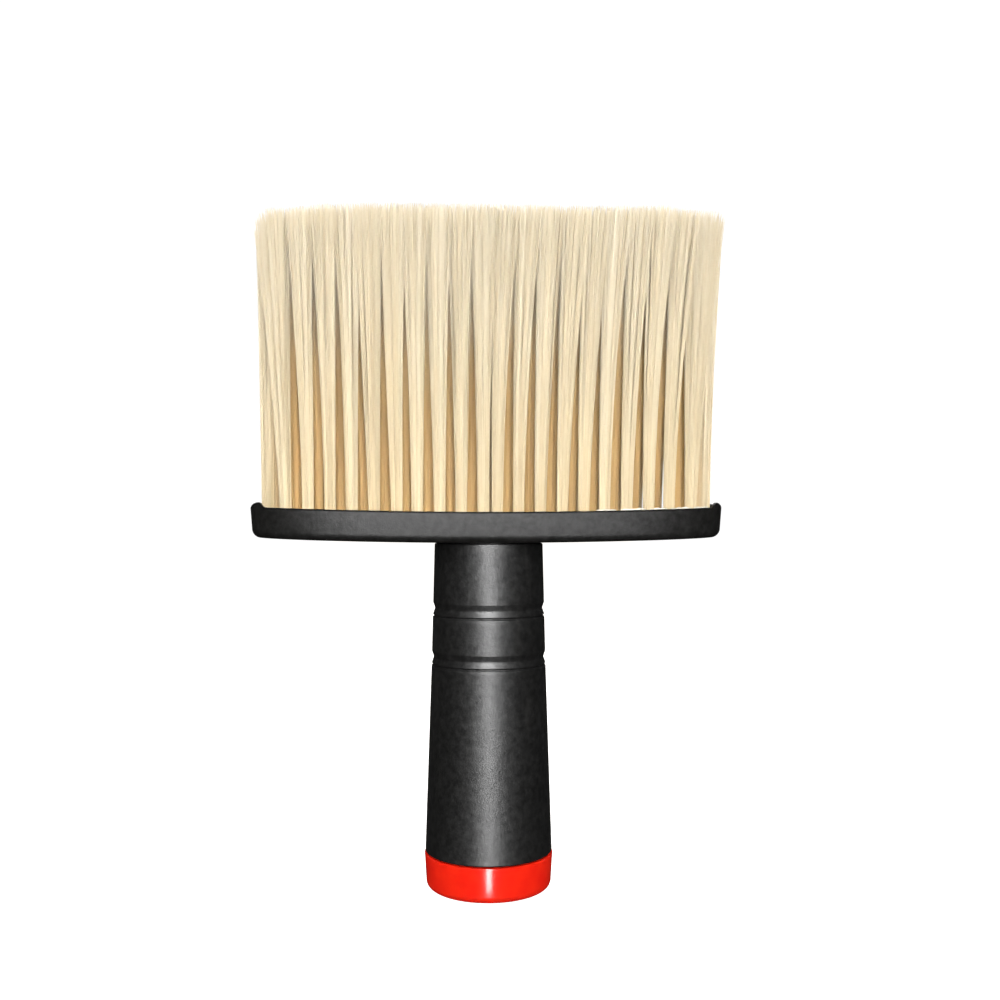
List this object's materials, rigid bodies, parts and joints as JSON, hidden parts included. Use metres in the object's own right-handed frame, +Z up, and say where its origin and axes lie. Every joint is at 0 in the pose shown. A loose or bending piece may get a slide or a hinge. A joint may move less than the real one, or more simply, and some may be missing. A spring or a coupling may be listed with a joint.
{
  "type": "neck duster brush",
  "caption": "Flat salon neck duster: rows of soft flared bristle tufts in a bowed black tray, on a hollow tapered grip with ring grooves and a red end cap that it stands on.",
  "frame": {"origin": "centre of the flat base of the end cap, on the grip's axis", "axes": "+Z up along the grip's axis to the bristle tips, X along the tray, -Y the front face"},
  "size_m": [0.1216, 0.0328, 0.1725],
  "materials": {
    "black_plastic": "satin",
    "red_plastic": "gloss",
    "bristle": "satin",
    "plate_plastic": "matte",
    "adhesive": "satin",
    "zinc_steel": "satin"
  },
  "bodies": {
    "root": {"end_cap": "red_plastic", "grip": "black_plastic", "screw_washer": "zinc_steel", "head_screw": "zinc_steel", "head_tray": "black_plastic", "adhesive_bed": "adhesive", "tuft_plate": "plate_plastic", "front_tuft_01": "bristle", "front_tuft_02": "bristle", "front_tuft_03": "bristle", "front_tuft_04": "bristle", "front_tuft_05": "bristle", "front_tuft_06": "bristle", "front_tuft_07": "bristle", "front_tuft_08": "bristle", "front_tuft_09": "bristle", "front_tuft_10": "bristle", "front_tuft_11": "bristle", "front_tuft_12": "bristle", "front_tuft_13": "bristle", "front_tuft_14": "bristle", "front_tuft_15": "bristle", "front_tuft_16": "bristle", "front_tuft_17": "bristle", "front_tuft_18": "bristle", "front_tuft_19": "bristle", "front_tuft_20": "bristle", "rear_tuft_01": "bristle", "rear_tuft_02": "bristle", "rear_tuft_03": "bristle", "rear_tuft_04": "bristle", "rear_tuft_05": "bristle", "rear_tuft_06": "bristle", "rear_tuft_07": "bristle", "rear_tuft_08": "bristle", "rear_tuft_09": "bristle", "rear_tuft_10": "bristle", "rear_tuft_11": "bristle", "rear_tuft_12": "bristle", "rear_tuft_13": "bristle", "rear_tuft_14": "bristle", "rear_tuft_15": "bristle", "rear_tuft_16": "bristle", "rear_tuft_17": "bristle", "rear_tuft_18": "bristle", "rear_tuft_19": "bristle", "rear_tuft_20": "bristle", "end_tuft_left": "bristle", "end_tuft_right": "bristle", "middle_tuft_row": "bristle"}
  },
  "joints": []
}
